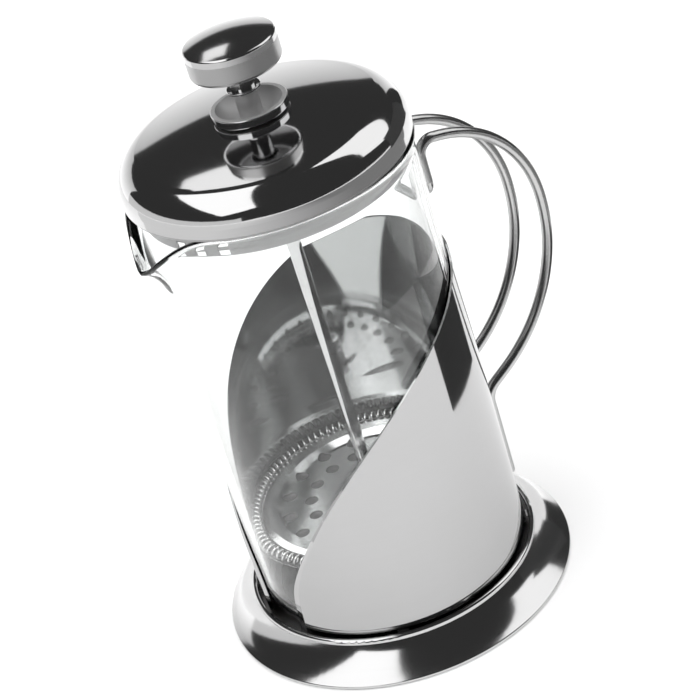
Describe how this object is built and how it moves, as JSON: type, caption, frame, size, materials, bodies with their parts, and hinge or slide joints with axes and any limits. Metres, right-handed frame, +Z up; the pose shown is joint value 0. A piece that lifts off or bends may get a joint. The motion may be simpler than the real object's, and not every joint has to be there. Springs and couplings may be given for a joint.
{
  "type": "french press",
  "caption": "French press: glass beaker in a flared steel base with a wave-edged sleeve, twin-loop wire handle, domed lid and filter plunger.",
  "frame": {"origin": "centre of the flat underside, on the press's vertical axis", "axes": "+Z up along the press's axis, +X to the handle, -X to the pouring spout"},
  "size_m": [0.1575, 0.1262, 0.2218],
  "materials": {
    "mirror_steel": "polished stainless steel",
    "satin_steel": "satin stainless steel",
    "spring_steel": "bright drawn spring wire",
    "mesh_steel": "woven fine wire mesh",
    "glass": "clear borosilicate glass",
    "silicone": "matt translucent silicone"
  },
  "bodies": {
    "frame": {"base_skirt": "mirror_steel", "base_plate": "satin_steel", "seat_pan": "satin_steel", "glass_pad": "silicone", "wave_shell": "satin_steel", "collar_tabs": "satin_steel", "handle_wire": "mirror_steel", "handle_welds": "satin_steel"},
    "beaker": {"glass_beaker": "glass"},
    "bush": {"centre_cup": "satin_steel", "ring_nut": "satin_steel"},
    "lid": {"lid_dome": "mirror_steel", "lid_band": "satin_steel", "lid_skirt": "satin_steel", "lid_inner_plate": "satin_steel", "rod_guide": "silicone"},
    "plunger": {"rod": "mirror_steel", "knob_collar": "mirror_steel", "knob_barrel": "satin_steel", "knob_cap": "mirror_steel", "spiral_plate": "satin_steel", "coil_spring": "spring_steel", "filter_mesh": "mesh_steel", "cross_plate": "satin_steel", "filter_hub": "satin_steel", "hub_nut": "satin_steel"}
  },
  "joints": [
    {"name": "beaker_lift", "type": "slide", "parent": "frame", "child": "beaker", "axis": [0, 0, 1], "range_m": [0, 0.16]},
    {"name": "lid_lift", "type": "slide", "parent": "beaker", "child": "bush", "axis": [0, 0, 1], "range_m": [0, 0.15]},
    {"name": "lid_turn", "type": "hinge", "parent": "bush", "child": "lid", "pos_m": [0, 0, 0.19], "axis": [0, 0, 1], "continuous": true},
    {"name": "plunger_press", "type": "slide", "parent": "bush", "child": "plunger", "axis": [0, 0, 1], "range_m": [0, 0.11]}
  ]
}
